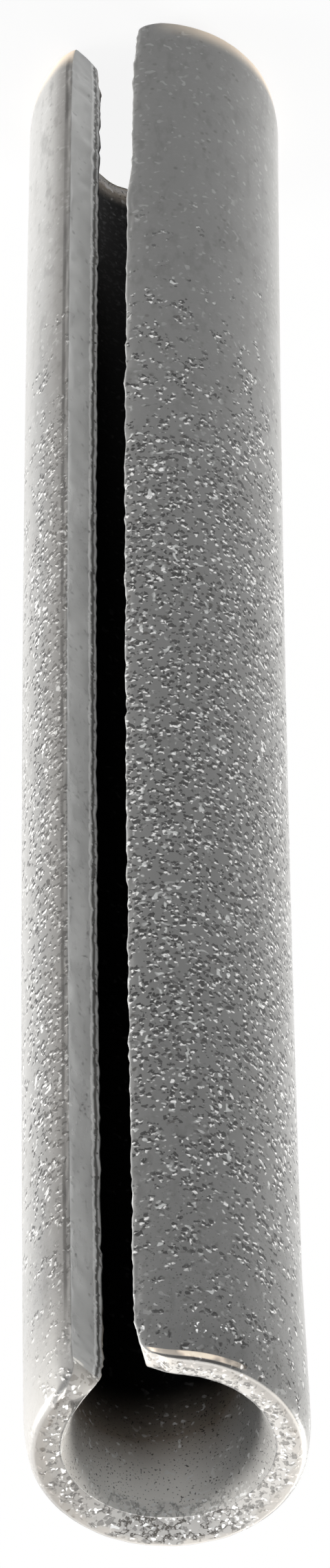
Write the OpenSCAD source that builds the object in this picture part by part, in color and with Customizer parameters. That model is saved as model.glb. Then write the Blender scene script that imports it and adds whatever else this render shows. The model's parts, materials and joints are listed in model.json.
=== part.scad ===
// Slotted spring pin: one strip of spring steel rolled into a tube with an open slot
// It stands on one end, with its axis along Z and the slot towards -Y

/* [Tube] */
// Outside diameter of the free pin
pin_d = 6.6; // [6.4:0.05:7]
// Overall length
pin_len = 50.8; // [20:0.2:80]
// Thickness of the rolled strip
wall = 1.2; // [0.9:0.05:1.4]

/* [Slot] */
// Angle that the slot opens, seen along the axis
slot_angle = 29.4; // [18:0.2:36]
// Round on the four long edges of the slot
lip_round = 0.14; // [0.08:0.02:0.24]
// Round on the end corners of the two lips
tip_round = 0.32; // [0.2:0.04:0.5]

/* [Ends] */
// Length of the crowned lead-in on the outside of each end
nose_len = 1.05; // [0.6:0.05:1.6]
// How far the lead-in drops below the outside, per side
nose_drop = 0.24; // [0.14:0.02:0.34]
// Round between the lead-in and the flat of each end
rim_round = 0.2; // [0.1:0.02:0.26]
// Depth of the flare inside each end of the bore
flare_len = 1.5; // [0.8:0.1:2]
// How far the flare opens beyond the bore, per side
flare_rise = 0.34; // [0.1:0.02:0.4]

/* [Hidden] */
$fn = 96;

outer_r = pin_d / 2;
bore_r = outer_r - wall;
half_slot = slot_angle / 2;
spare = 1;

// The centre of a round sits a little less than its radius from both of its walls
function set_in(round) = round * cos(8);

// The lead-in and the flare are arcs that leave their cylinder at a small angle
arc_start = 4;
function arc_end(length, rise) = 2 * atan(rise / length) - arc_start;
function arc_r(length, rise) = length / (sin(arc_end(length, rise)) - sin(arc_start));

crown_r = arc_r(nose_len, nose_drop);
crown_at = [outer_r - crown_r * cos(arc_start), crown_r * sin(arc_end(nose_len, nose_drop))];
bell_r = arc_r(flare_len, flare_rise);
bell_at = [bore_r + bell_r * cos(arc_start), bell_r * sin(arc_end(flare_len, flare_rise))];

// Direction in the section at an angle from the middle of the slot
function ray(angle) = [sin(angle), cos(angle)];

// Gap between the two lips, with faces that point at the axis
module slot_gap() {
  reach = 2 * outer_r;
  polygon([[0, 0], reach * ray(-half_slot), reach * ray(half_slot)]);
}

// What a round takes off a corner, given its centre and the ways to the two walls
module corner_cut(centre, first_way, second_way, round) {
  first = 2 * round * first_way;
  second = 2 * round * second_way;
  difference() {
    polygon([centre, centre + first, centre + first + second, centre + second]);
    translate(centre) circle(r = round);
  }
}

// What a round takes off one long edge of a lip, on the outside or in the bore
module edge_cut(outside) {
  in = set_in(lip_round);
  centre_r = outside ? outer_r - in : bore_r + in;
  wall_way = ray(half_slot + asin(in / centre_r));
  corner_cut(centre_r * wall_way, ray(half_slot - 90), outside ? wall_way : -wall_way, lip_round);
}

// Rolled strip across the axis
module section() {
  difference() {
    circle(r = outer_r);
    circle(r = bore_r);
    slot_gap();
    for (side = [0, 1], outside = [true, false])
      mirror([side, 0]) edge_cut(outside);
  }
}

// What the crowned lead-in takes off the outside of one end
module nose_cut() {
  rotate_extrude() difference() {
    translate([outer_r - 2 * nose_drop, -spare])
      square([2 * nose_drop + spare, crown_at[1] + spare]);
    translate(crown_at) circle(r = crown_r);
  }
}

// What a round takes off the edge between the lead-in and the flat of one end
module rim_cut() {
  in = set_in(rim_round);
  reach = crown_r - in;
  rise = crown_at[1] - in;
  centre = [crown_at[0] + sqrt(reach * reach - rise * rise), in];
  rotate_extrude() corner_cut(centre, [0, -1], (centre - crown_at) / reach, rim_round);
}

// What the bell-mouthed flare takes off the inside of one end
module flare_cut() {
  rotate_extrude() difference() {
    translate([0, -spare]) square([bore_r + 2 * flare_rise, bell_at[1] + spare]);
    translate(bell_at) circle(r = bell_r);
  }
}

// What a round takes off the end corner of each lip
module tip_cuts() {
  in = set_in(tip_round);
  for (side = [0, 1]) mirror([side, 0, 0])
    rotate([0, 0, 90 - half_slot]) rotate([90, 0, 90])
      linear_extrude(height = 2 * outer_r) corner_cut([-in, in], [1, 0], [0, -1], tip_round);
}

// Both ends are worked alike
module both_ends() {
  children();
  translate([0, 0, pin_len]) mirror([0, 0, 1]) children();
}

module roll_pin() {
  color([0.46, 0.465, 0.45])
    rotate([0, 0, 180])
      difference() {
        linear_extrude(height = pin_len) section();
        both_ends() {
          nose_cut();
          rim_cut();
          flare_cut();
          tip_cuts();
        }
      }
}

roll_pin();
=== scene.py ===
import json
import math

import bmesh
import bpy
from mathutils import Matrix, Vector


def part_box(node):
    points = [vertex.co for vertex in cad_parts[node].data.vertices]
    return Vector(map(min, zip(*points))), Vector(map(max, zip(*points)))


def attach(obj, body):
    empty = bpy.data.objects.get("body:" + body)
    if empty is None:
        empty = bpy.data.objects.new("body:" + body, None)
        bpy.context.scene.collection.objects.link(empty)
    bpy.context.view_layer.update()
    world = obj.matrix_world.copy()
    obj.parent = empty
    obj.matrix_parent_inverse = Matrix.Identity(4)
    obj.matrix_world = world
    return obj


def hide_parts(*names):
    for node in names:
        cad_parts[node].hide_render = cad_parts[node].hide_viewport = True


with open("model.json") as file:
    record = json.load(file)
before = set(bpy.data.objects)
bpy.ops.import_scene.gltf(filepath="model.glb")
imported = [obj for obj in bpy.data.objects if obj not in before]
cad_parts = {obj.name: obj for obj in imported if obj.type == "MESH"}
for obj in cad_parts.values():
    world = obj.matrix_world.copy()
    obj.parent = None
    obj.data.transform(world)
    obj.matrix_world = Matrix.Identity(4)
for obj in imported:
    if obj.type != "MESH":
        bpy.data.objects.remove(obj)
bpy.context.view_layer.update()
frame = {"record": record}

# Sizes of the pin, in metres, from the frame
MM = 0.001
low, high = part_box("roll_pin")
mount_dims = {mount["name"]: mount["dims"] for mount in frame["record"]["mounts"]}
outside_r = (high.x - low.x) / 2
pin_len = high.z - low.z
bore_r = mount_dims["bore"]["r_mm"] * MM
nose_len = (pin_len - mount_dims["press_wall"]["length_mm"] * MM) / 2
flare_len = (pin_len - mount_dims["bore"]["length_mm"] * MM) / 2

# Sizes that the frame doesn't give, the same as in the part's source
nose_drop = 0.24 * MM
flare_rise = 0.34 * MM
rim_round = 0.2 * MM
tip_round = 0.32 * MM
slot_angle = math.radians(29.4)

# Places round the strip, as a share of the way from the right lip to the left one
BACK_TURN = 0.58
LEFT_RIM_STARTS = 0.6
LEFT_RIM_FULL = 0.75

# Directions round the axis, from the middle of the slot
FRONT_ANGLE = math.radians(27)
RIGHT_FLANK_ANGLE = math.radians(117)

# How the camera sees the pin
sight_angle = math.radians(41.125)
slot_turn = math.radians(-27.114)
image_roll = math.radians(-0.53)
image_size = (480, 2284)
middle_px = (232.302, 1073.316)
radius_px = 192.565
focal_px = 15987.7

# Ways across and along the pin as the camera sees them
image_right = Vector((-math.cos(slot_turn), -math.sin(slot_turn), 0))
towards_camera = Vector((math.sin(slot_turn), -math.cos(slot_turn), 0))
up = Vector((0, 0, 1))


def add_node(tree, kind, inputs=None, **settings):
    """Adds a node, sets its properties, and fills or links its inputs by name or place"""
    made = tree.nodes.new(kind)
    for name, value in settings.items():
        setattr(made, name, value)
    for key, value in (inputs or {}).items():
        fill(tree, made.inputs[key], value)
    return made


def fill(tree, socket, value):
    """Links a socket to another node's output, or gives it a plain value"""
    if isinstance(value, bpy.types.NodeSocket):
        tree.links.new(value, socket)
    elif value is not None:
        socket.default_value = value


def calc(tree, operation, *values):
    """One step of arithmetic, as a node's output"""
    made = add_node(tree, "ShaderNodeMath", operation=operation)
    for socket, value in zip(made.inputs, values):
        fill(tree, socket, value)
    return made.outputs[0]


def product(tree, first, *others):
    """Several values multiplied"""
    for other in others:
        first = calc(tree, "MULTIPLY", first, other)
    return first


def left_over(tree, share):
    """What a share leaves of one"""
    return calc(tree, "SUBTRACT", 1.0, share)


def ramp(tree, value, start, end, low_value=0.0, high_value=1.0, smooth=False):
    """Turns a range of a value into another range, held at both ends"""
    made = add_node(tree, "ShaderNodeMapRange", clamp=True)
    made.interpolation_type = "SMOOTHSTEP" if smooth else "LINEAR"
    for name, given in (("Value", value), ("From Min", start), ("From Max", end),
                        ("To Min", low_value), ("To Max", high_value)):
        fill(tree, made.inputs[name], given)
    return made.outputs["Result"]


def band(tree, value, middle, half_width, soft):
    """One inside a band of a value, and nothing outside it"""
    off = calc(tree, "ABSOLUTE", calc(tree, "SUBTRACT", value, middle))
    return ramp(tree, off, half_width, half_width + soft, 1.0, 0.0)


def vector(tree, x, y, z):
    """Three values as one vector"""
    return add_node(tree, "ShaderNodeCombineXYZ", {0: x, 1: y, 2: z}).outputs[0]


def scaled(tree, way, size):
    """A vector made longer or shorter"""
    return add_node(tree, "ShaderNodeVectorMath", {0: way, "Scale": size}, operation="SCALE").outputs[0]


def added(tree, first, second):
    """Two vectors added"""
    return add_node(tree, "ShaderNodeVectorMath", {0: first, 1: second}, operation="ADD").outputs[0]


def split(tree, way):
    """The three parts of a vector"""
    return add_node(tree, "ShaderNodeSeparateXYZ", {0: way}).outputs


def stored(tree, geometry, name, value):
    """Keeps a value on every point under a name"""
    made = add_node(tree, "GeometryNodeStoreNamedAttribute",
                    {"Geometry": geometry, "Name": name, "Value": value},
                    data_type="FLOAT", domain="POINT")
    return made.outputs["Geometry"]


def named(tree, name):
    """A value that was kept on the points"""
    return add_node(tree, "GeometryNodeInputNamedAttribute", {"Name": name},
                    data_type="FLOAT").outputs["Attribute"]


def bunched(tree, share, edge_share, edge_size, whole, power):
    """Lays even steps along a length, with many of them bunched near both of its ends"""
    near = calc(tree, "POWER", ramp(tree, share, 0.0, edge_share), power)
    far = calc(tree, "POWER", ramp(tree, share, 1.0 - edge_share, 1.0, 1.0, 0.0), power)
    edges = calc(tree, "MULTIPLY_ADD", calc(tree, "SUBTRACT", near, far), edge_size, edge_size)
    between = calc(tree, "SUBTRACT", whole, 2 * edge_size)
    return calc(tree, "MULTIPLY_ADD", ramp(tree, share, edge_share, 1.0 - edge_share), between, edges)


def turn_steps(tree, share):
    """Steps round the strip, finer beside both lips"""
    return bunched(tree, share, 0.12, 0.03, 1.0, 1.5)


def depth_steps(tree, share):
    """Steps through the wall, finer at the bore and at the outside"""
    return bunched(tree, share, 0.3, 0.13, 1.0, 1.3)


def arc(tree, share):
    """Rise of a shallow arc that leaves its wall at a small angle, from 0 to 1"""
    straight_part = 0.306
    straight = calc(tree, "MULTIPLY", share, straight_part)
    return calc(tree, "MULTIPLY_ADD", product(tree, share, share), 1.0 - straight_part, straight)


def quarter_round(tree, distance, size):
    """How far a round of the given size has dropped, as a share of that size"""
    share = ramp(tree, distance, 0.0, size, 1.0, 0.0)
    flat = calc(tree, "SQRT", left_over(tree, product(tree, share, share)))
    return left_over(tree, flat)


# Steps of the mesh round the strip, across each lip and along the axis
WALL_STEPS = 140
LIP_STEPS = 12
ALONG_STEPS = 290


def strip_tree():
    """The rolled strip by its rule: a section that follows the axis, with worked ends and a worn skin"""
    tree = bpy.data.node_groups.new("rolled_strip", "GeometryNodeTree")
    tree.is_modifier = True
    sizes = (
        ("Outside Radius", outside_r),
        ("Bore Radius", bore_r),
        ("Length", pin_len),
        ("Slot Angle", slot_angle),
        ("Nose Length", nose_len),
        ("Nose Drop", nose_drop),
        ("Rim Round", rim_round),
        ("Tip Round", tip_round),
        ("Flare Length", flare_len),
        ("Flare Rise", flare_rise),
        ("Tip Setback", 0.3 * MM),
        ("Mouth Spread", 0.11 * MM),
        ("Edge Roll", 0.09 * MM),
        ("Lip Spread", 0.05),
        ("Bow", 0.13 * MM),
        ("Skin Relief", 0.008 * MM),
        ("Torn Relief", 0.06 * MM),
        ("Ragged Edge", 0.1 * MM),
        ("Seed", 7.0),
    )
    tree.interface.new_socket("Geometry", in_out="OUTPUT", socket_type="NodeSocketGeometry")
    tree.interface.new_socket("Geometry", in_out="INPUT", socket_type="NodeSocketGeometry")
    tree.interface.new_socket("Steel", in_out="INPUT", socket_type="NodeSocketMaterial")
    for name, value in sizes:
        socket = tree.interface.new_socket(name, in_out="INPUT", socket_type="NodeSocketFloat")
        socket.default_value = value
    given = tree.nodes.new("NodeGroupInput").outputs
    result = tree.nodes.new("NodeGroupOutput")

    # Walls and lips: one sheet wound round the strip's section and drawn along the axis
    round_steps = 2 * (WALL_STEPS + LIP_STEPS)
    wall_share = WALL_STEPS / round_steps
    lip_share = LIP_STEPS / round_steps
    sheet = add_node(tree, "GeometryNodeMeshGrid", {
        "Size X": 1.0, "Size Y": 1.0, "Vertices X": round_steps + 1, "Vertices Y": ALONG_STEPS + 1})
    place = split(tree, tree.nodes.new("GeometryNodeInputPosition").outputs[0])
    across = calc(tree, "ADD", place[0], 0.5)
    down = calc(tree, "ADD", place[1], 0.5)
    wall_turn = calc(tree, "SUBTRACT", ramp(tree, across, 0.0, wall_share),
                     ramp(tree, across, 0.5, 0.5 + wall_share))
    lip_depth = calc(tree, "ADD", ramp(tree, across, wall_share, 0.5, 1.0, 0.0),
                     ramp(tree, across, 1.0 - lip_share, 1.0))
    walls = stored(tree, sheet.outputs["Mesh"], "turn", turn_steps(tree, wall_turn))
    walls = stored(tree, walls, "depth", depth_steps(tree, lip_depth))
    walls = stored(tree, walls, "along", bunched(tree, down, 0.14, 2.0 * MM, given["Length"], 1.8))
    walls = stored(tree, walls, "end_face", 0.0)

    # End faces: two sheets between the outside and the bore
    faces = []
    for place_along in (0.0, given["Length"]):
        cap = add_node(tree, "GeometryNodeMeshGrid", {
            "Size X": 1.0, "Size Y": 1.0, "Vertices X": WALL_STEPS + 1, "Vertices Y": LIP_STEPS + 1})
        cap_mesh = stored(tree, cap.outputs["Mesh"], "turn", turn_steps(tree, across))
        cap_mesh = stored(tree, cap_mesh, "depth", depth_steps(tree, down))
        cap_mesh = stored(tree, cap_mesh, "along", place_along)
        faces.append(stored(tree, cap_mesh, "end_face", 1.0))
    joined = tree.nodes.new("GeometryNodeJoinGeometry")
    for part in (walls, faces[0], faces[1]):
        tree.links.new(part, joined.inputs[0])

    # Radius of every point, with the worked ends and the rolled edges of the lips
    turn, depth, along = named(tree, "turn"), named(tree, "depth"), named(tree, "along")
    from_foot = calc(tree, "SUBTRACT", given["Length"], along)
    from_end = calc(tree, "MINIMUM", along, from_foot)
    at_top = ramp(tree, calc(tree, "DIVIDE", along, given["Length"]), 0.3, 0.7, 1.0, 0.0)
    half_slot = calc(tree, "MULTIPLY", given["Slot Angle"], 0.5)
    sweep = calc(tree, "SUBTRACT", 2 * math.pi, given["Slot Angle"])
    angle = calc(tree, "MULTIPLY_ADD", turn, sweep, half_slot)
    from_right = product(tree, turn, sweep, given["Outside Radius"])
    from_left = product(tree, left_over(tree, turn), sweep, given["Outside Radius"])
    crown = arc(tree, ramp(tree, from_end, 0.0, given["Nose Length"], 1.0, 0.0))
    rim = product(tree, quarter_round(tree, from_end, given["Rim Round"]), given["Rim Round"], 0.62)
    roll = calc(tree, "ADD", calc(tree, "POWER", ramp(tree, from_left, 0.0, 0.55 * MM, 1.0, 0.0), 2.0),
                calc(tree, "POWER", ramp(tree, from_right, 0.0, 0.22 * MM, 0.6, 0.0), 2.0))
    from_back = calc(tree, "COSINE", calc(tree, "SUBTRACT", angle, FRONT_ANGLE))
    crowned = calc(tree, "MULTIPLY_ADD", product(tree, ramp(tree, from_back, 0.0, 1.0), at_top), 0.5, 0.55)
    drop = calc(tree, "MULTIPLY_ADD", product(tree, crown, crowned), given["Nose Drop"],
                calc(tree, "MULTIPLY_ADD", roll, given["Edge Roll"], rim))
    outer = calc(tree, "SUBTRACT", given["Outside Radius"], drop)
    bell = arc(tree, ramp(tree, from_end, 0.0, given["Flare Length"], 1.0, 0.0))
    rise = product(tree, given["Flare Rise"], ramp(tree, from_back, -1.0, 0.0, 0.3, 1.05),
                   ramp(tree, at_top, 0.0, 1.0, 0.45, 1.0))
    inner = calc(tree, "MULTIPLY_ADD", bell, rise, given["Bore Radius"])
    right_facing = calc(tree, "COSINE", calc(tree, "SUBTRACT", angle, RIGHT_FLANK_ANGLE))
    right_side = calc(tree, "MAXIMUM", right_facing, 0.0)
    spread = product(tree, right_side, ramp(tree, along, 0.0, 6 * MM, 1.0, 0.0), given["Mouth Spread"])
    radius = calc(tree, "ADD", spread,
                  calc(tree, "MULTIPLY_ADD", depth, calc(tree, "SUBTRACT", outer, inner), inner))

    # Angle of every point: the tips of the lips are rounded, and the right lip springs open at both ends
    near_right = ramp(tree, turn, 0.0, 0.06, 1.0, 0.0)
    near_left = ramp(tree, turn, 0.94, 1.0)
    open_top = calc(tree, "POWER", ramp(tree, along, 0.0, 1.7 * MM, 1.0, 0.0), 2.0)
    kinked = calc(tree, "ADD", ramp(tree, from_foot, 6.3 * MM, 7.3 * MM, 0.65, 0.0, smooth=True),
                  ramp(tree, from_foot, 7 * MM, 18 * MM, 0.35, 0.0))
    open_foot = calc(tree, "POWER", ramp(tree, from_foot, 0.0, 3.5 * MM, 1.0, 0.0), 2.0)
    opened = product(tree, calc(tree, "ADD", open_top, calc(tree, "ADD", kinked, open_foot)),
                     given["Lip Spread"])
    right_tip = product(tree, quarter_round(tree, from_end, given["Tip Round"]), given["Tip Round"])
    left_size = product(tree, given["Tip Round"], ramp(tree, at_top, 0.0, 1.0, 0.35, 2.0))
    left_tip = product(tree, quarter_round(tree, from_end, left_size), left_size)
    right_shift = calc(tree, "ADD", opened, calc(tree, "DIVIDE", right_tip, radius))
    angle = calc(tree, "MULTIPLY_ADD", near_right, right_shift, angle)
    angle = calc(tree, "SUBTRACT", angle, product(tree, near_left, calc(tree, "DIVIDE", left_tip, radius)))

    # Height of every point: the ends are a little domed and fall back towards the tips of the lips
    off_crest = calc(tree, "MULTIPLY_ADD", depth, 2.0, -1.3)
    dome = product(tree, off_crest, off_crest, ramp(tree, at_top, 0.0, 1.0, 0.25, 0.15))
    left_wear = product(tree, near_left, near_left, ramp(tree, at_top, 0.0, 1.0, 0.0, 0.7))
    right_wear = product(tree, near_right, near_right, ramp(tree, at_top, 0.0, 1.0, 0.6, 0.8))
    worn_tips = calc(tree, "ADD", left_wear, right_wear)
    worn_back = product(tree, calc(tree, "POWER", left_over(tree, depth), 2.0),
                        band(tree, turn, BACK_TURN, 0.1, 0.1), ramp(tree, at_top, 0.0, 1.0, 1.9, 0.0))
    worn_end = calc(tree, "ADD", calc(tree, "ADD", dome, worn_tips), worn_back)
    setback = product(tree, worn_end, given["Tip Setback"])
    top_share = calc(tree, "POWER", ramp(tree, along, 0.0, 1.8 * MM, 1.0, 0.0), 2.0)
    foot_share = calc(tree, "POWER", ramp(tree, from_foot, 0.0, 1.8 * MM, 1.0, 0.0), 2.0)
    height = calc(tree, "MULTIPLY_ADD", setback, calc(tree, "SUBTRACT", foot_share, top_share), from_foot)
    inward = calc(tree, "MULTIPLY", radius, -1.0)
    rule = vector(tree, product(tree, calc(tree, "SINE", angle), inward),
                  product(tree, calc(tree, "COSINE", angle), inward), height)
    middle = calc(tree, "MULTIPLY_ADD", calc(tree, "DIVIDE", along, given["Length"]), 2.0, -1.0)
    bend = calc(tree, "MULTIPLY", left_over(tree, product(tree, middle, middle)), given["Bow"])
    rule = added(tree, rule, scaled(tree, tuple(-image_right), bend))
    shaped = add_node(tree, "GeometryNodeSetPosition", {"Geometry": joined.outputs[0], "Position": rule})
    welded = add_node(tree, "GeometryNodeMergeByDistance",
                      {"Geometry": shaped.outputs[0], "Distance": 0.0004 * MM})

    # Edges of the lips and ends are broken by a little smoothing
    lip_edge = calc(tree, "ADD", ramp(tree, turn, 0.002, 0.012, 1.0, 0.0), ramp(tree, turn, 0.988, 0.998))
    end_edge = ramp(tree, from_end, 0.04 * MM, 0.16 * MM, 1.0, 0.0)
    edge = calc(tree, "MAXIMUM", lip_edge, end_edge)
    soft = add_node(tree, "GeometryNodeBlurAttribute", {"Iterations": 3, "Weight": edge},
                    data_type="FLOAT_VECTOR")
    position = tree.nodes.new("GeometryNodeInputPosition").outputs[0]
    vector_in = [socket for socket in soft.inputs if socket.type == "VECTOR" and socket.enabled][0]
    vector_out = [socket for socket in soft.outputs if socket.type == "VECTOR" and socket.enabled][0]
    tree.links.new(position, vector_in)
    eased = add_node(tree, "GeometryNodeSetPosition",
                     {"Geometry": welded.outputs[0], "Position": vector_out})

    # Worn skin: shallow dents all over, ragged lips and torn inner halves of the end faces
    def noise(scale, detail):
        made = add_node(tree, "ShaderNodeTexNoise", {
            "Vector": position, "W": given["Seed"], "Scale": scale, "Detail": detail, "Roughness": 0.6},
            noise_dimensions="4D")
        return made.outputs[0]

    skin = product(tree, calc(tree, "MULTIPLY_ADD", noise(1500.0, 3.0), 2.0, -1.0), given["Skin Relief"])
    off_tip = product(tree, lip_edge, ramp(tree, from_end, 0.3 * MM, 1.0 * MM))
    ragged = product(tree, calc(tree, "MULTIPLY_ADD", noise(3000.0, 2.0), 2.0, -1.0), given["Ragged Edge"],
                     calc(tree, "MULTIPLY_ADD", end_edge, 0.2, off_tip))
    broken = product(tree, calc(tree, "SUBTRACT", noise(4200.0, 2.0), 0.9), given["Torn Relief"],
                     named(tree, "end_face"), ramp(tree, depth, 0.45, 0.7, 1.0, 0.15))
    lift = calc(tree, "ADD", calc(tree, "ADD", skin, ragged), broken)
    out = scaled(tree, tree.nodes.new("GeometryNodeInputNormal").outputs[0], lift)
    worn = add_node(tree, "GeometryNodeSetPosition", {"Geometry": eased.outputs[0], "Offset": out})
    spot = split(tree, position)
    inside_length = calc(tree, "MINIMUM", calc(tree, "MAXIMUM", spot[2], 0.0), given["Length"])
    seated = add_node(tree, "GeometryNodeSetPosition", {
        "Geometry": worn.outputs[0], "Position": vector(tree, spot[0], spot[1], inside_length)})
    smooth = add_node(tree, "GeometryNodeSetShadeSmooth", {"Geometry": seated.outputs[0]})
    whole = add_node(tree, "GeometryNodeRealizeInstances", {"Geometry": smooth.outputs[0]})
    finished = add_node(tree, "GeometryNodeSetMaterial",
                        {"Geometry": whole.outputs[0], "Material": given["Steel"]})
    tree.links.new(finished.outputs[0], result.inputs[0])
    return tree


def plain_mesh(name, tree, material):
    """Runs a geometry tree and keeps its result as an ordinary mesh"""
    carrier = bpy.data.objects.new(name, bpy.data.meshes.new(name))
    bpy.context.scene.collection.objects.link(carrier)
    modifier = carrier.modifiers.new("rule", "NODES")
    modifier.node_group = tree
    for item in tree.interface.items_tree:
        if item.in_out == "INPUT" and item.name == "Steel":
            modifier[item.identifier] = material
        elif item.in_out == "INPUT" and item.socket_type == "NodeSocketFloat":
            modifier[item.identifier] = item.default_value
    bpy.context.view_layer.update()
    evaluated = carrier.evaluated_get(bpy.context.evaluated_depsgraph_get())
    mesh = bpy.data.meshes.new_from_object(evaluated)
    carrier.modifiers.clear()
    carrier.data = mesh
    mesh.name = name
    return carrier


def outward(piece):
    """Turns every face of a closed piece outwards"""
    work = bmesh.new()
    work.from_mesh(piece.data)
    bmesh.ops.recalc_face_normals(work, faces=work.faces)
    if work.calc_volume(signed=True) < 0:
        bmesh.ops.reverse_faces(work, faces=work.faces)
    work.to_mesh(piece.data)
    work.free()


# Size of the grain, and the parts of it that the material picks from
GRAINS_PER_METRE = 6000.0
GRAIN_PARTS = ("Pebbles", "Lit", "Shaded", "Patch", "Pits", "Specks", "Dust", "Blot", "Crack", "Cloud")


def grain_group():
    """Fine grain of the phosphated skin: pebbles with a lit and a shaded side, pits, specks and dust"""
    tree = bpy.data.node_groups.new("pebble_grain", "ShaderNodeTree")
    for name, kind in (("Vector", "NodeSocketVector"), ("Grain", "NodeSocketFloat")):
        tree.interface.new_socket(name, in_out="INPUT", socket_type=kind)
    for name in GRAIN_PARTS:
        tree.interface.new_socket(name, in_out="OUTPUT", socket_type="NodeSocketFloat")
    given = tree.nodes.new("NodeGroupInput").outputs
    result = tree.nodes.new("NodeGroupOutput")
    where = given["Vector"]

    def noise(scale, detail, roughness, shift=0.0):
        size = calc(tree, "MULTIPLY", given["Grain"], scale)
        moved = added(tree, where, vector(tree, 0.0, 0.0, calc(tree, "DIVIDE", shift, size)))
        made = add_node(tree, "ShaderNodeTexNoise", {
            "Vector": moved, "Scale": size, "Detail": detail, "Roughness": roughness})
        return made.outputs[0]

    stir_size = calc(tree, "MULTIPLY", given["Grain"], 1.2)
    stir = add_node(tree, "ShaderNodeTexNoise",
                    {"Vector": where, "Scale": stir_size, "Detail": 1.0}).outputs["Color"]
    stirred = added(tree, where, scaled(tree, added(tree, stir, (-0.5, -0.5, -0.5)),
                                        calc(tree, "DIVIDE", 1.4, given["Grain"])))

    side_shift = 0.27

    def pebble_height(shift):
        moved = added(tree, stirred, vector(tree, 0.0, 0.0, calc(tree, "DIVIDE", shift, given["Grain"])))
        cell = add_node(tree, "ShaderNodeTexVoronoi", {"Vector": moved, "Scale": given["Grain"]},
                        feature="F1")
        kept = ramp(tree, split(tree, cell.outputs["Color"])[0], 0.0, 0.3)
        return product(tree, ramp(tree, cell.outputs["Distance"], 0.12, 0.5, 1.0, 0.0, smooth=True), kept)

    pebbles = pebble_height(0.0)
    slope = calc(tree, "SUBTRACT", pebble_height(-side_shift), pebble_height(side_shift))
    lit = ramp(tree, slope, 0.38, 0.75)
    shaded = ramp(tree, slope, -0.03, -0.14)
    patch = ramp(tree, noise(0.35, 1.0, 0.5), 0.3, 0.7)
    cells = add_node(tree, "ShaderNodeTexVoronoi", {
        "Vector": where, "Scale": calc(tree, "MULTIPLY", given["Grain"], 0.6), "Randomness": 1.0},
        feature="F1").outputs["Distance"]
    pits = calc(tree, "MULTIPLY", ramp(tree, cells, 0.12, 0.3, 1.0, 0.0, smooth=True),
                ramp(tree, noise(0.45, 1.0, 0.5), 0.48, 0.6))
    specks = calc(tree, "MULTIPLY", ramp(tree, noise(1.2, 0.0, 0.5), 0.64, 0.74, smooth=True),
                  ramp(tree, noise(0.3, 1.0, 0.5), 0.45, 0.62))
    dust = ramp(tree, noise(3.2, 0.0, 0.5), 0.69, 0.76)
    drawn_out = add_node(tree, "ShaderNodeVectorMath", {0: where, 1: (1.0, 1.0, 0.5)}, operation="MULTIPLY")
    blotting = add_node(tree, "ShaderNodeTexNoise", {
        "Vector": drawn_out.outputs[0], "Scale": calc(tree, "MULTIPLY", given["Grain"], 0.45),
        "Detail": 3.0, "Roughness": 0.6}).outputs[0]
    blot = ramp(tree, blotting, 0.48, 0.68, smooth=True)
    crack = band(tree, blotting, 0.5, 0.014, 0.02)
    cloud = ramp(tree, noise(0.09, 2.0, 0.6), 0.38, 0.62)
    values = (pebbles, lit, shaded, patch, pits, specks, dust, blot, crack, cloud)
    for name, value in zip(GRAIN_PARTS, values):
        tree.links.new(value, result.inputs[name])
    return tree


def attribute(tree, name):
    """A value that the mesh carries on its points"""
    made = add_node(tree, "ShaderNodeAttribute", attribute_name=name, attribute_type="GEOMETRY")
    return made.outputs["Fac"]


def mixed(tree, share, first, second):
    """One colour laid over another"""
    made = add_node(tree, "ShaderNodeMix", data_type="RGBA")
    colour_in = [socket for socket in made.inputs if socket.type == "RGBA"]
    fill(tree, made.inputs[0], share)
    fill(tree, colour_in[0], first)
    fill(tree, colour_in[1], second)
    return [socket for socket in made.outputs if socket.type == "RGBA"][0]


def grey(value, warm=0.0):
    """A grey of the steel, turned a little warm or cool"""
    return (value * (1 + warm), value, value * (1 - warm), 1)


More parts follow.
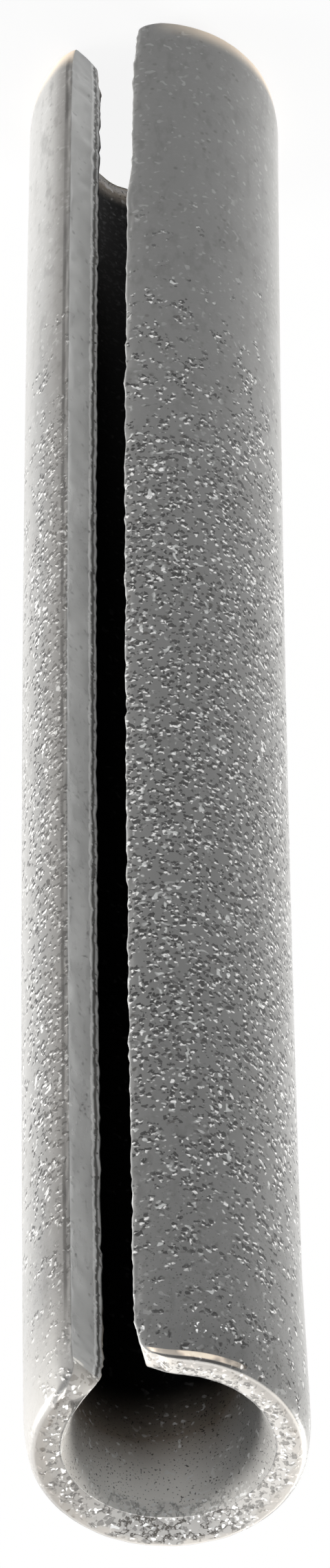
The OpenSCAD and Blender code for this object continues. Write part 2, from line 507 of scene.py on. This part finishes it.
def skin_colour(tree, at, strength):
    """Outside: raised grains with a painted lit crest and a painted shaded foot, pits and bare specks, on a
    tone painted paler on the flanks than in front and behind
    """
    skin = mixed(tree, at["Cloud"], grey(0.215, 0.01), grey(0.195, 0.01))
    in_front = calc(tree, "MAXIMUM", ramp(tree, at["turn"], 0.22, 0.3, 1.0, 0.0),
                    ramp(tree, at["turn"], 0.9, 0.96))
    # Painted light and shade: the flanks are painted paler than the front and the back
    flank_light = mixed(tree, band(tree, at["turn"], 0.6, 0.17, 0.08), grey(0.35, 0.01), grey(0.19, 0.01))
    skin = mixed(tree, in_front, flank_light, skin)
    # Painted light: the left flank is painted paler towards the far end
    far_left_light = product(tree, ramp(tree, at["from_foot"], 2 * MM, 14 * MM, 1.0, 0.0),
                       band(tree, at["turn"], 0.9, 0.06, 0.03))
    skin = mixed(tree, far_left_light, skin, grey(0.42, 0.01))
    calm = left_over(tree, strength)
    skin = mixed(tree, product(tree, at["Blot"], calm, in_front, 0.6), skin, grey(0.14, 0.02))
    skin = mixed(tree, product(tree, at["Specks"], calm, 0.3), skin, grey(0.6))
    skin = mixed(tree, product(tree, at["Dust"], at["near_end"], 0.8), skin, grey(0.02))
    skin = mixed(tree, product(tree, at["Shaded"], strength), skin, grey(0.01, 0.1))
    skin = mixed(tree, product(tree, at["Lit"], strength), skin, grey(0.8, 0.01))
    pitted = product(tree, at["Pits"], ramp(tree, strength, 0.0, 1.0, 0.45, 0.9))
    skin = mixed(tree, pitted, skin, grey(0.04, 0.15))
    skin = mixed(tree, product(tree, at["Specks"], strength, 0.8), skin, grey(0.9))

    # Darker and browner towards the left lip's rolled edge, with a dark ragged line along it, and a painted
    # highlight along the right lip's edge
    off_end = ramp(tree, at["along"], 0.7 * MM, 1.4 * MM)
    left_edge_darkening = product(tree, ramp(tree, at["turn"], 0.945, 0.985), off_end, 0.45)
    skin = mixed(tree, left_edge_darkening, skin, grey(0.16, 0.08))
    wander = calc(tree, "MULTIPLY_ADD", product(tree, at["Pebbles"], strength), 0.005, 0.992)
    left_edge_line = product(tree, band(tree, at["turn"], wander, 0.0014, 0.002), off_end,
                   ramp(tree, at["Cloud"], 0.0, 0.8, 0.35, 0.9))
    skin = mixed(tree, left_edge_line, skin, grey(0.05, 0.1))
    # Painted highlight along the right lip's rounded edge
    painted_sheen = ramp(tree, at["turn"], 0.001, 0.003, 1.0, 0.0)
    return mixed(tree, product(tree, painted_sheen, 0.25), skin, grey(0.7))


def worked_end(tree, at, skin):
    """The lead-in: a painted highlight along the burr with painted shade at its foot beside the right lip,
    and a painted pale reflection on the crown
    """
    burr_at = 0.06 * MM
    past_burr = calc(tree, "SUBTRACT", at["along"], burr_at)
    beside_lip = product(tree, ramp(tree, at["turn"], 0.11, 0.15, 1.0, 0.0),
                         ramp(tree, at["turn"], 0.004, 0.012))
    crown = ramp(tree, past_burr, -0.05 * MM, -0.03 * MM, 1.0, 0.0)
    # Painted light: the left side is painted paler near the end
    left_end_light = product(tree, ramp(tree, at["along"], 0.6 * MM, 3.6 * MM, 1.0, 0.0),
                         ramp(tree, at["turn"], 0.66, 0.8),
                         ramp(tree, at["turn"], 0.97, 0.985, 1.0, 0.6), 0.8)
    skin = mixed(tree, left_end_light, skin, grey(0.45, 0.03))
    at_left = ramp(tree, at["turn"], LEFT_RIM_STARTS, LEFT_RIM_FULL)
    # Painted pale reflection on the crown, paler towards the right lip than on the left
    painted_sheen = mixed(tree, at_left, grey(0.85, 0.06), grey(0.5, 0.05))
    skin = mixed(tree, product(tree, crown, 0.85), skin, painted_sheen)
    # Painted shade along the burr's foot, and a painted highlight along the burr
    burr_shade = product(tree, band(tree, past_burr, -0.015 * MM, 0.015 * MM, 0.01 * MM), beside_lip)
    skin = mixed(tree, product(tree, burr_shade, 0.9), skin, grey(0.03, 0.15))
    burr_highlight = product(tree, band(tree, past_burr, 0.07 * MM, 0.045 * MM, 0.02 * MM), beside_lip,
                   ramp(tree, at["Patch"], 0.2, 0.5, 0.4, 1.0))
    skin = mixed(tree, burr_highlight, skin, grey(0.9, 0.17))

    # Hammered glints in a row behind the burr, painted white and made metallic
    row = product(tree, band(tree, at["along"], 0.95 * MM, 0.2 * MM, 0.1 * MM),
                  band(tree, at["turn"], 0.085, 0.03, 0.02))
    glints = product(tree, row, ramp(tree, at["Blot"], 0.3, 0.6), ramp(tree, at["Pebbles"], 0.3, 0.6))
    skin = mixed(tree, glints, skin, grey(1.0))
    # Painted pale reflection on the far end's crown, fading out at the right lip
    far_crown_sheen = product(tree, ramp(tree, at["from_foot"], 0.1 * MM, 0.9 * MM, 1.0, 0.0, smooth=True),
                        ramp(tree, at["turn"], 0.03, 0.12))
    skin = mixed(tree, product(tree, far_crown_sheen, 0.9), skin, grey(0.9, 0.2))
    return skin, calc(tree, "MAXIMUM", glints, product(tree, burr_highlight, 0.7))


def lip_colour(tree, at):
    """Sheared lips: smooth and pale, with a light and a dark line beside the bore"""
    wander = calc(tree, "MULTIPLY_ADD", at["Pebbles"], 0.05, calc(tree, "ADD", at["depth"], -0.025))
    plain = mixed(tree, at["Cloud"], grey(0.53), grey(0.62))
    plain = mixed(tree, product(tree, at["Pits"], 0.35), plain, grey(0.1))
    light = mixed(tree, product(tree, band(tree, wander, 0.23, 0.02, 0.03), 0.7), plain, grey(0.95))
    lined = mixed(tree, product(tree, band(tree, wander, 0.12, 0.025, 0.03), 0.85), light, grey(0.05, 0.1))
    on_left = ramp(tree, at["turn"], 0.4, 0.6)
    tip_at = ramp(tree, on_left, 0.0, 1.0, 0.3 * MM, 0.62 * MM)
    past_tip = calc(tree, "SUBTRACT", at["along"], tip_at)
    glint = product(tree, band(tree, past_tip, 0.06 * MM, 0.03 * MM, 0.03 * MM), on_left,
                    ramp(tree, at["depth"], 0.6, 0.7))
    lined = mixed(tree, glint, lined, grey(1.0, 0.04))
    tip_tone = mixed(tree, on_left, grey(0.72, 0.06), grey(0.45, 0.05))
    tip_tone = mixed(tree, product(tree, at["Shaded"], 0.45), tip_tone, grey(0.1, 0.2))
    tip_tone = mixed(tree, at["Lit"], tip_tone, grey(1.0, 0.02))
    return mixed(tree, ramp(tree, past_tip, -0.02 * MM, 0.02 * MM, 1.0, 0.0), lined, tip_tone)


def bore_depth(tree, at):
    """How far a point lies from the daylight of the two mouths, sooner dark on the left"""
    shaded_side = calc(tree, "SUBTRACT", product(tree, ramp(tree, at["turn"], 0.5, 0.8), 0.7 * MM),
                       product(tree, band(tree, at["turn"], 0.3, 0.06, 0.12), 1.3 * MM))
    reach = calc(tree, "ADD", at["along"], shaded_side)
    return calc(tree, "MINIMUM", ramp(tree, reach, 1.0 * MM, 4.6 * MM, smooth=True),
                ramp(tree, at["from_foot"], 0.1 * MM, 1.6 * MM, smooth=True))


def bore_colour(tree, at):
    """Bore: painted shade, pale at the mouth and palest at the back, brown and then black further in"""
    deep = bore_depth(tree, at)
    at_back = band(tree, at["turn"], BACK_TURN, 0.08, 0.12)
    mouth = mixed(tree, ramp(tree, at["turn"], 0.4, 0.56), grey(0.4, 0.02), grey(0.95, 0.03))
    mouth = mixed(tree, ramp(tree, at["turn"], 0.68, 0.8), mouth, grey(0.5, 0.04))
    # Painted shade: the bore darkens the further a point lies from the mouths
    bore = mixed(tree, ramp(tree, deep, 0.0, 0.5), mouth, grey(0.26, 0.16))
    bore = mixed(tree, ramp(tree, deep, 0.45, 1.0), bore, grey(0.002))
    bore = mixed(tree, product(tree, at["Specks"], ramp(tree, deep, 0.5, 1.0, 0.8, 0.04)), bore, grey(0.9))
    bore = mixed(tree, product(tree, at["Dust"], 0.8), bore, grey(0.01))
    bore = mixed(tree, ramp(tree, at["from_foot"], 0.03 * MM, 0.15 * MM, 0.8, 0.0), bore, grey(0.9, 0.2))

    # The torn end runs a little way in at the back, with painted shade, cracks and painted glints
    torn_in = calc(tree, "MULTIPLY_ADD", at["Patch"], 0.4 * MM, 0.3 * MM)
    past_torn = calc(tree, "SUBTRACT", at["along"], torn_in)
    torn = product(tree, ramp(tree, past_torn, -0.1 * MM, 0.1 * MM, 1.0, 0.0), at_back)
    bore = mixed(tree, product(tree, torn, 0.5), bore, grey(0.8, 0.02))
    shade_and_cracks = calc(tree, "MAXIMUM", product(tree, at["Shaded"], 0.3), product(tree, at["Crack"], 0.5))
    bore = mixed(tree, product(tree, torn, shade_and_cracks), bore, grey(0.08))
    painted_glints = calc(tree, "MAXIMUM", at["Lit"], at["Specks"])
    return mixed(tree, product(tree, torn, painted_glints), bore, grey(1.0))


def torn_colour(tree, at):
    """Torn steel: bright facets beside dark ones, with painted shade in the hollows, cracks and painted
    glints
    """
    at_back = band(tree, at["turn"], BACK_TURN, 0.06, 0.1)
    facets = mixed(tree, ramp(tree, at["turn"], 0.62, 0.75), grey(0.72, 0.04), grey(0.43, 0.05))
    facets = mixed(tree, at_back, facets, grey(0.48, 0.03))
    hollow_shade = product(tree, at["Shaded"], ramp(tree, at_back, 0.0, 1.0, 0.5, 0.45))
    facets = mixed(tree, hollow_shade, facets, grey(0.03, 0.1))
    cracks = product(tree, at["Crack"], ramp(tree, at_back, 0.0, 1.0, 0.35, 0.9))
    facets = mixed(tree, cracks, facets, grey(0.04, 0.2))
    painted_glints = calc(tree, "MAXIMUM", at["Lit"], product(tree, at["Specks"], at_back))
    return mixed(tree, painted_glints, facets, grey(1.0))


def end_colour(tree, at):
    """Sheared end faces: burnished cream outside, torn and sparkling inside"""
    inmost = ramp(tree, band(tree, at["turn"], BACK_TURN, 0.08, 0.1), 0.0, 1.0, 0.5, 0.75)
    wavy = calc(tree, "MULTIPLY_ADD", at["Pebbles"], 0.2, inmost)
    edge = calc(tree, "MULTIPLY_ADD", at["Patch"], 0.4, wavy)
    torn = left_over(tree, ramp(tree, calc(tree, "SUBTRACT", at["depth"], edge), -0.1, 0.1))
    burnished = mixed(tree, at["Cloud"], grey(0.56, 0.06), grey(0.7, 0.06))
    at_left = ramp(tree, at["turn"], LEFT_RIM_STARTS, LEFT_RIM_FULL)
    burnished = mixed(tree, at_left, burnished, grey(0.42, 0.07))
    flecks = calc(tree, "MAXIMUM", product(tree, at["Shaded"], at["Blot"]), at["Pits"])
    burnished = mixed(tree, product(tree, flecks, 0.6), burnished, grey(0.1, 0.25))
    return mixed(tree, torn, burnished, torn_colour(tree, at))


def steel_material():
    """Phosphated spring steel, with a brighter sheared face at each end and painted shade darkening the
    bore
    """
    material = bpy.data.materials.new("phosphated_steel")
    material.use_nodes = True
    tree = material.node_tree
    tree.nodes.clear()
    result = tree.nodes.new("ShaderNodeOutputMaterial")
    shader = tree.nodes.new("ShaderNodeBsdfPrincipled")
    tree.links.new(shader.outputs[0], result.inputs[0])
    grain = add_node(tree, "ShaderNodeGroup", node_tree=grain_group())
    fill(tree, grain.inputs["Vector"], tree.nodes.new("ShaderNodeTexCoord").outputs["Object"])
    fill(tree, grain.inputs["Grain"], GRAINS_PER_METRE)
    at = {name: grain.outputs[name] for name in GRAIN_PARTS}
    for name in ("turn", "depth", "along", "end_face"):
        at[name] = attribute(tree, name)
    at["from_foot"] = calc(tree, "SUBTRACT", pin_len, at["along"])

    # The grain is coarse over the middle of the outside and fades towards both ends
    at["near_end"] = ramp(tree, at["along"], 1 * MM, 9 * MM, 1.0, 0.0)
    near_fade = ramp(tree, at["along"], 1.5 * MM, 14 * MM, 0.5, 1.12, smooth=True)
    far_fade = ramp(tree, at["along"], 27 * MM, 45 * MM, 1.0, 0.0, smooth=True)
    in_front = calc(tree, "MAXIMUM", ramp(tree, at["turn"], 0.22, 0.3, 1.0, 0.5),
                    ramp(tree, at["turn"], 0.9, 0.95, 0.35, 1.0))
    cover = product(tree, near_fade, far_fade, in_front)
    strength = ramp(tree, calc(tree, "ADD", at["Patch"], cover), 0.95, 1.2)

    skin, bare = worked_end(tree, at, skin_colour(tree, at, strength))
    off_lip = calc(tree, "MINIMUM", at["turn"], left_over(tree, at["turn"]))
    colour = mixed(tree, ramp(tree, off_lip, 0.0, 0.0006, 1.0, 0.0), skin, lip_colour(tree, at))
    inside = ramp(tree, at["depth"], 0.02, 0.06, 1.0, 0.0)
    oiled = product(tree, ramp(tree, at["Cloud"], 0.0, 1.0, 0.5, 0.8),
                    left_over(tree, at["end_face"]))
    colour = mixed(tree, inside, colour, bore_colour(tree, at))
    colour = mixed(tree, at["end_face"], colour, end_colour(tree, at))
    fill(tree, shader.inputs["Base Color"], colour)
    crests = product(tree, at["Lit"], calc(tree, "MAXIMUM", strength, at["end_face"]), 0.75)
    # Metal rises deep in the bore, following the depth of its painted shade
    deep_bore_share = product(tree, inside, bore_depth(tree, at))
    metal = calc(tree, "MAXIMUM", calc(tree, "MAXIMUM", crests, bare), deep_bore_share)
    fill(tree, shader.inputs["Metallic"], ramp(tree, metal, 0.0, 1.0, 0.12, 1.0))
    fill(tree, shader.inputs["Roughness"], ramp(tree, at["Pebbles"], 0.0, 1.0, 0.6, 0.42))
    shader.inputs["Specular IOR Level"].default_value = 0.35
    shader.inputs["Coat Roughness"].default_value = 0.3
    fill(tree, shader.inputs["Coat Weight"], product(tree, left_over(tree, inside), oiled))
    rough = calc(tree, "MAXIMUM", product(tree, strength, ramp(tree, at["depth"], 0.9, 0.99, 0.25, 1.0)),
                 at["end_face"])
    lift = product(tree, calc(tree, "SUBTRACT", at["Pebbles"], at["Pits"]), rough)
    bump = add_node(tree, "ShaderNodeBump", {"Height": lift, "Strength": 1.0, "Distance": 0.014 * MM})
    fill(tree, shader.inputs["Normal"], bump.outputs[0])
    return material


steel = steel_material()
pin = plain_mesh("rolled_pin", strip_tree(), steel)
outward(pin)
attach(pin, "root")
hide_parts("roll_pin")


def seen_rays(tree):
    """1 for what the camera sees, straight or in a reflection"""
    ray = tree.nodes.new("ShaderNodeLightPath").outputs
    mirrored = calc(tree, "MAXIMUM", ray["Is Glossy Ray"], ray["Is Transmission Ray"])
    return calc(tree, "MAXIMUM", ray["Is Camera Ray"], mirrored)


def floor_piece():
    """Plain pale floor, white to the camera, that keeps a soft shadow"""
    half = 0.6
    mesh = bpy.data.meshes.new("floor")
    corners = [(-half, -half, 0), (half, -half, 0), (half, half, 0), (-half, half, 0)]
    mesh.from_pydata(corners, [], [(0, 1, 2, 3)])
    floor = bpy.data.objects.new("floor", mesh)
    bpy.context.scene.collection.objects.link(floor)
    material = bpy.data.materials.new("pale_floor")
    material.use_nodes = True
    tree = material.node_tree
    tree.nodes.clear()
    result = tree.nodes.new("ShaderNodeOutputMaterial")
    paint = add_node(tree, "ShaderNodeBsdfDiffuse", {"Color": (0.85, 0.85, 0.85, 1)})
    white = add_node(tree, "ShaderNodeEmission", {"Color": (1, 1, 1, 1), "Strength": 1.0})
    shadow_kept = 0.1
    share = calc(tree, "MULTIPLY", seen_rays(tree), 1.0 - shadow_kept)
    blend = add_node(tree, "ShaderNodeMixShader", {0: share, 1: paint.outputs[0], 2: white.outputs[0]})
    tree.links.new(blend.outputs[0], result.inputs[0])
    mesh.materials.append(material)


def soft_lamp(name, way, distance, size, power, colour):
    """A soft box that looks at the middle of the pin"""
    lamp = bpy.data.lights.new(name, "AREA")
    lamp.shape = "RECTANGLE"
    lamp.size, lamp.size_y = size
    lamp.energy = power
    lamp.color = colour
    holder = bpy.data.objects.new(name, lamp)
    bpy.context.scene.collection.objects.link(holder)
    target = Vector((0, 0, pin_len / 2))
    holder.location = target + way.normalized() * distance
    holder.rotation_euler = (target - holder.location).to_track_quat("-Z", "Y").to_euler()


def lights():
    """Two soft boxes beside and a little behind the pin, one overhead, and a dim room"""
    distance = 0.5
    low_rise = math.tan(math.radians(9))
    side_size = (0.25, 0.15)
    top_size = (0.3, 0.3)
    boxes = (("left_box", -96, 3.8, (1.0, 0.985, 0.95)), ("right_box", 126, 3.8, (1.0, 0.985, 0.94)))
    for name, turned, power, colour in boxes:
        round_pin = math.radians(turned)
        way = image_right * math.sin(round_pin) + towards_camera * math.cos(round_pin) + up * low_rise
        soft_lamp(name, way, distance, side_size, power, colour)
    soft_lamp("top_box", up - towards_camera * 0.15, distance, top_size, 0.95, (1.0, 1.0, 1.0))
    world = bpy.data.worlds.new("room")
    bpy.context.scene.world = world
    world.use_nodes = True
    tree = world.node_tree
    tree.nodes.clear()
    dim = add_node(tree, "ShaderNodeBackground", {"Color": (0.95, 1.0, 1.0, 1), "Strength": 0.24})
    white = add_node(tree, "ShaderNodeBackground", {"Color": (1, 1, 1, 1), "Strength": 1.0})
    blend = add_node(tree, "ShaderNodeMixShader",
                     {0: seen_rays(tree), 1: dim.outputs[0], 2: white.outputs[0]})
    result = tree.nodes.new("ShaderNodeOutputWorld")
    tree.links.new(blend.outputs[0], result.inputs[0])


def camera():
    """The photograph's view, from the fitted angles and distance"""
    roll_cos, roll_sin = math.cos(image_roll), math.sin(image_roll)
    away = -up
    tilt_cos, tilt_sin = math.cos(sight_angle), math.sin(sight_angle)
    right = image_right * roll_cos + towards_camera * (tilt_cos * roll_sin) + away * (tilt_sin * roll_sin)
    top = image_right * -roll_sin + towards_camera * (tilt_cos * roll_cos) + away * (tilt_sin * roll_cos)
    back = towards_camera * tilt_sin - away * tilt_cos
    turn = Matrix((right, top, back)).transposed()
    metre_px = outside_r / radius_px
    seen = Vector(((middle_px[0] - image_size[0] / 2) * metre_px,
                   (image_size[1] / 2 - middle_px[1]) * metre_px, -focal_px * metre_px))
    made = bpy.data.cameras.new("camera")
    made.sensor_fit = "VERTICAL"
    made.sensor_height = 36.0
    made.lens = focal_px * made.sensor_height / image_size[1]
    made.clip_start = 0.01
    holder = bpy.data.objects.new("camera", made)
    bpy.context.scene.collection.objects.link(holder)
    place = Vector((0, 0, pin_len / 2)) - turn @ seen
    holder.matrix_world = Matrix.Translation(place) @ turn.to_4x4()
    bpy.context.scene.camera = holder


floor_piece()
lights()
camera()
bpy.context.scene.view_settings.view_transform = "Standard"
